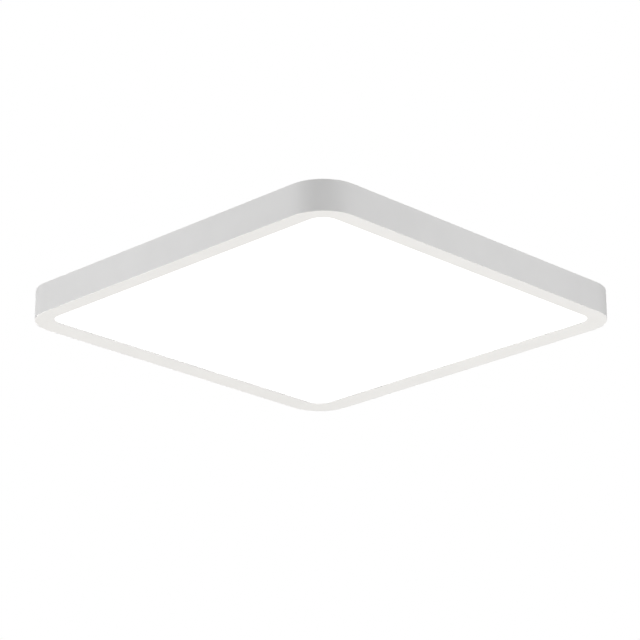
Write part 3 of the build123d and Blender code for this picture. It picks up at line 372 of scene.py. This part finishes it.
def dress_driver():
    case = moulded_plastic("driver_plastic", (0.80, 0.80, 0.785), 0.52, grain=0.5, depth=0.02)
    dress(case, "driver_case_base", "driver_case_lid")

    board = new_material("circuit_board", (0.02, 0.17, 0.07), 0.32)
    tracks = add(board, "ShaderNodeTexBrick", Scale=1.0)
    join(board, coordinates(board), tracks.inputs["Vector"])
    tracks.inputs["Brick Width"].default_value = TRACK_L
    tracks.inputs["Row Height"].default_value = TRACK_W
    tracks.inputs["Mortar Size"].default_value = TRACK_GAP
    color_by(board, tracks.outputs["Fac"], (0.02, 0.15, 0.06), (0.05, 0.28, 0.12), start=0.0, end=1.0)
    relief(board, (tracks.outputs["Fac"], 0.035))
    dress(board, "driver_board")

    ferrite = new_material("ferrite", (0.055, 0.055, 0.06), 0.6)
    color_by(ferrite, noise(ferrite, 0.8, detail=4.0), (0.045, 0.045, 0.05), (0.075, 0.075, 0.08))
    relief(ferrite, (noise(ferrite, 0.3, detail=3.0), 0.02))
    dress(ferrite, "driver_transformer_core", "driver_choke")

    winding = new_material("copper_winding", (0.62, 0.26, 0.09), 0.25, metallic=0.85)
    turns_and_groove_shade = bands(winding, WIRE_PITCH, "Z")
    # Painted shade and highlight: the wire is darker in the grooves between turns and lighter on their
    # crests, following the bump.
    color_by(winding, turns_and_groove_shade, (0.36, 0.13, 0.04), (0.7, 0.32, 0.12), start=0.0, end=1.0)
    relief(winding, (turns_and_groove_shade, 0.18))
    dress(winding, "driver_transformer_winding")

    sleeve = new_material("capacitor_sleeve", (0.03, 0.045, 0.11), 0.3)
    color_by(sleeve, noise(sleeve, 2.0), (0.025, 0.04, 0.1), (0.04, 0.055, 0.13))
    relief(sleeve, (noise(sleeve, 0.9), 0.02))
    dress(sleeve, "driver_input_capacitor", "driver_output_capacitors")

    epoxy = moulded_plastic("black_epoxy", (0.03, 0.03, 0.033), 0.5, grain=0.25)
    dress(epoxy, "driver_rectifier", "driver_power_switch")
    fuse = moulded_plastic("fuse_ceramic", (0.78, 0.74, 0.64), 0.4, grain=0.4)
    dress(fuse, "driver_fuse")


# ---------------------------------------------------------------- terminal block and leads

def dress_terminal():
    nylon = moulded_plastic("terminal_nylon", (0.76, 0.76, 0.73), 0.42, grain=0.6, depth=0.015)
    shader = shader_of(nylon)
    shader.inputs["Subsurface Weight"].default_value = 0.15
    shader.inputs["Subsurface Radius"].default_value = (1.0, 1.0, 0.9)
    shader.inputs["Subsurface Scale"].default_value = 1.0 * MM
    dress(nylon, "terminal_base", "terminal_housing", "lead_clips")

    orange = moulded_plastic("button_plastic", (0.85, 0.22, 0.02), 0.3, grain=0.5, depth=0.008)
    dress(orange, *(f"release_button_{pole}" for pole in ("live", "neutral", "earth")))

    brass = new_material("contact_brass", (0.72, 0.52, 0.22), 0.28, metallic=1.0)
    color_by(brass, noise(brass, 1.5, detail=3.0), (0.62, 0.43, 0.17), (0.76, 0.56, 0.26))
    roughen(brass, noise(brass, 0.8), 0.22, 0.38)
    relief(brass, (noise(brass, 0.3, stretch=(1.0, 12.0, 1.0)), 0.006))
    dress(brass, "terminal_contacts", "earth_lug")
    dress(plated_steel("spring_steel", (0.6, 0.6, 0.61), 0.2), "terminal_clamps")


STRIPE_W = 1.0             # yellow stripe along the top and the underside of the earth lead, mm


def striped_insulation():
    """Green, with a yellow stripe along the lead, which runs along Y."""
    material = insulation("lead_green", (0.06, 0.34, 0.05))
    low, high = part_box("lead_earth")
    middle = (low.x + high.x) / 2
    texture = add(material, "ShaderNodeTexCoord")
    separate = add(material, "ShaderNodeSeparateXYZ")
    join(material, texture.outputs["Object"], separate.inputs["Vector"])
    offset = add(material, "ShaderNodeMath")
    offset.operation = "SUBTRACT"
    offset.inputs[1].default_value = middle
    join(material, separate.outputs["X"], offset.inputs[0])
    distance = add(material, "ShaderNodeMath")
    distance.operation = "ABSOLUTE"
    join(material, offset.outputs["Value"], distance.inputs[0])
    edge = STRIPE_W / 2 * MM
    color_by(
        material, distance.outputs["Value"], (0.85, 0.65, 0.03), (0.05, 0.32, 0.05),
        start=edge * 0.95, end=edge * 1.05,
    )
    return material


def dress_leads():
    dress(insulation("lead_brown", (0.12, 0.045, 0.02)), "lead_live")
    dress(insulation("lead_blue", (0.02, 0.1, 0.42)), "lead_neutral")
    dress(striped_insulation(), "lead_earth")
    dress(insulation("lead_red", (0.55, 0.02, 0.015)), "led_lead_positive")
    dress(insulation("lead_black", (0.02, 0.02, 0.02)), "led_lead_negative")


# ---------------------------------------------------------------- surroundings

FLOOR_BELOW_M = 2.4
FLOOR_SIZE_M = 30.0
FLOOR_FADE_M = (1.5, 7.0)  # from here to there the floor fades into the white surroundings
FLOOR_WHITE = 0.6          # and its part of white right below the lamp


def white_where_seen(tree):
    """1 for rays from the camera, a mirror or clear glass, which see plain white, and 0 for the rest."""
    nodes, links = tree.nodes, tree.links
    path = nodes.new("ShaderNodeLightPath")
    seen = path.outputs["Is Camera Ray"]
    for kind in ("Is Glossy Ray", "Is Transmission Ray"):
        either = nodes.new("ShaderNodeMath")
        either.operation = "MAXIMUM"
        links.new(seen, either.inputs[0])
        links.new(path.outputs[kind], either.inputs[1])
        seen = either.outputs["Value"]
    return seen


def make_world():
    """White where it is seen, and a soft even light for the rest."""
    world = bpy.data.worlds.new("studio")
    world.use_nodes = True
    tree = world.node_tree
    tree.nodes.clear()
    light = tree.nodes.new("ShaderNodeBackground")
    light.inputs["Strength"].default_value = WORLD_LEVEL
    white = tree.nodes.new("ShaderNodeBackground")
    for background in (light, white):
        background.inputs["Color"].default_value = (1, 1, 1, 1)
    mix = tree.nodes.new("ShaderNodeMixShader")
    tree.links.new(white_where_seen(tree), mix.inputs["Fac"])
    tree.links.new(light.outputs["Background"], mix.inputs[1])
    tree.links.new(white.outputs["Background"], mix.inputs[2])
    output = tree.nodes.new("ShaderNodeOutputWorld")
    tree.links.new(mix.outputs["Shader"], output.inputs["Surface"])
    bpy.context.scene.world = world


def make_floor():
    """A pale floor far below, which takes the lamp's shadow and fades into the white surroundings."""
    bpy.ops.mesh.primitive_plane_add(size=FLOOR_SIZE_M, location=(0, 0, -FLOOR_BELOW_M))
    floor = bpy.context.object
    floor.name = "floor"
    floor.visible_diffuse = False
    floor.visible_shadow = False
    material = new_material("floor_white", (0.95, 0.95, 0.95), 0.9, specular=0.0)
    tree = material.node_tree
    texture = add(material, "ShaderNodeTexCoord")
    distance = add(material, "ShaderNodeVectorMath")
    distance.operation = "LENGTH"
    join(material, texture.outputs["Object"], distance.inputs[0])
    fade = fit_range(material, distance.outputs["Value"], FLOOR_WHITE, 1.0, *FLOOR_FADE_M)
    amount = add(material, "ShaderNodeMath")
    amount.operation = "MULTIPLY"
    join(material, fade, amount.inputs[0])
    join(material, white_where_seen(tree), amount.inputs[1])
    glow = add(material, "ShaderNodeEmission", Color=(1, 1, 1, 1), Strength=1.0)
    mix = add(material, "ShaderNodeMixShader")
    join(material, amount.outputs["Value"], mix.inputs["Fac"])
    join(material, shader_of(material).outputs["BSDF"], mix.inputs[1])
    join(material, glow.outputs["Emission"], mix.inputs[2])
    join(material, mix.outputs["Shader"], tree.nodes["Material Output"].inputs["Surface"])
    floor.data.materials.append(material)


# ---------------------------------------------------------------- the scene

bpy.context.scene.view_settings.view_transform = "Standard"
make_camera()
make_lights()
make_world()
make_floor()
dress_bezel()
dress_panel()
dress_led_strip()
dress_metalwork()
dress_driver()
dress_terminal()
dress_leads()
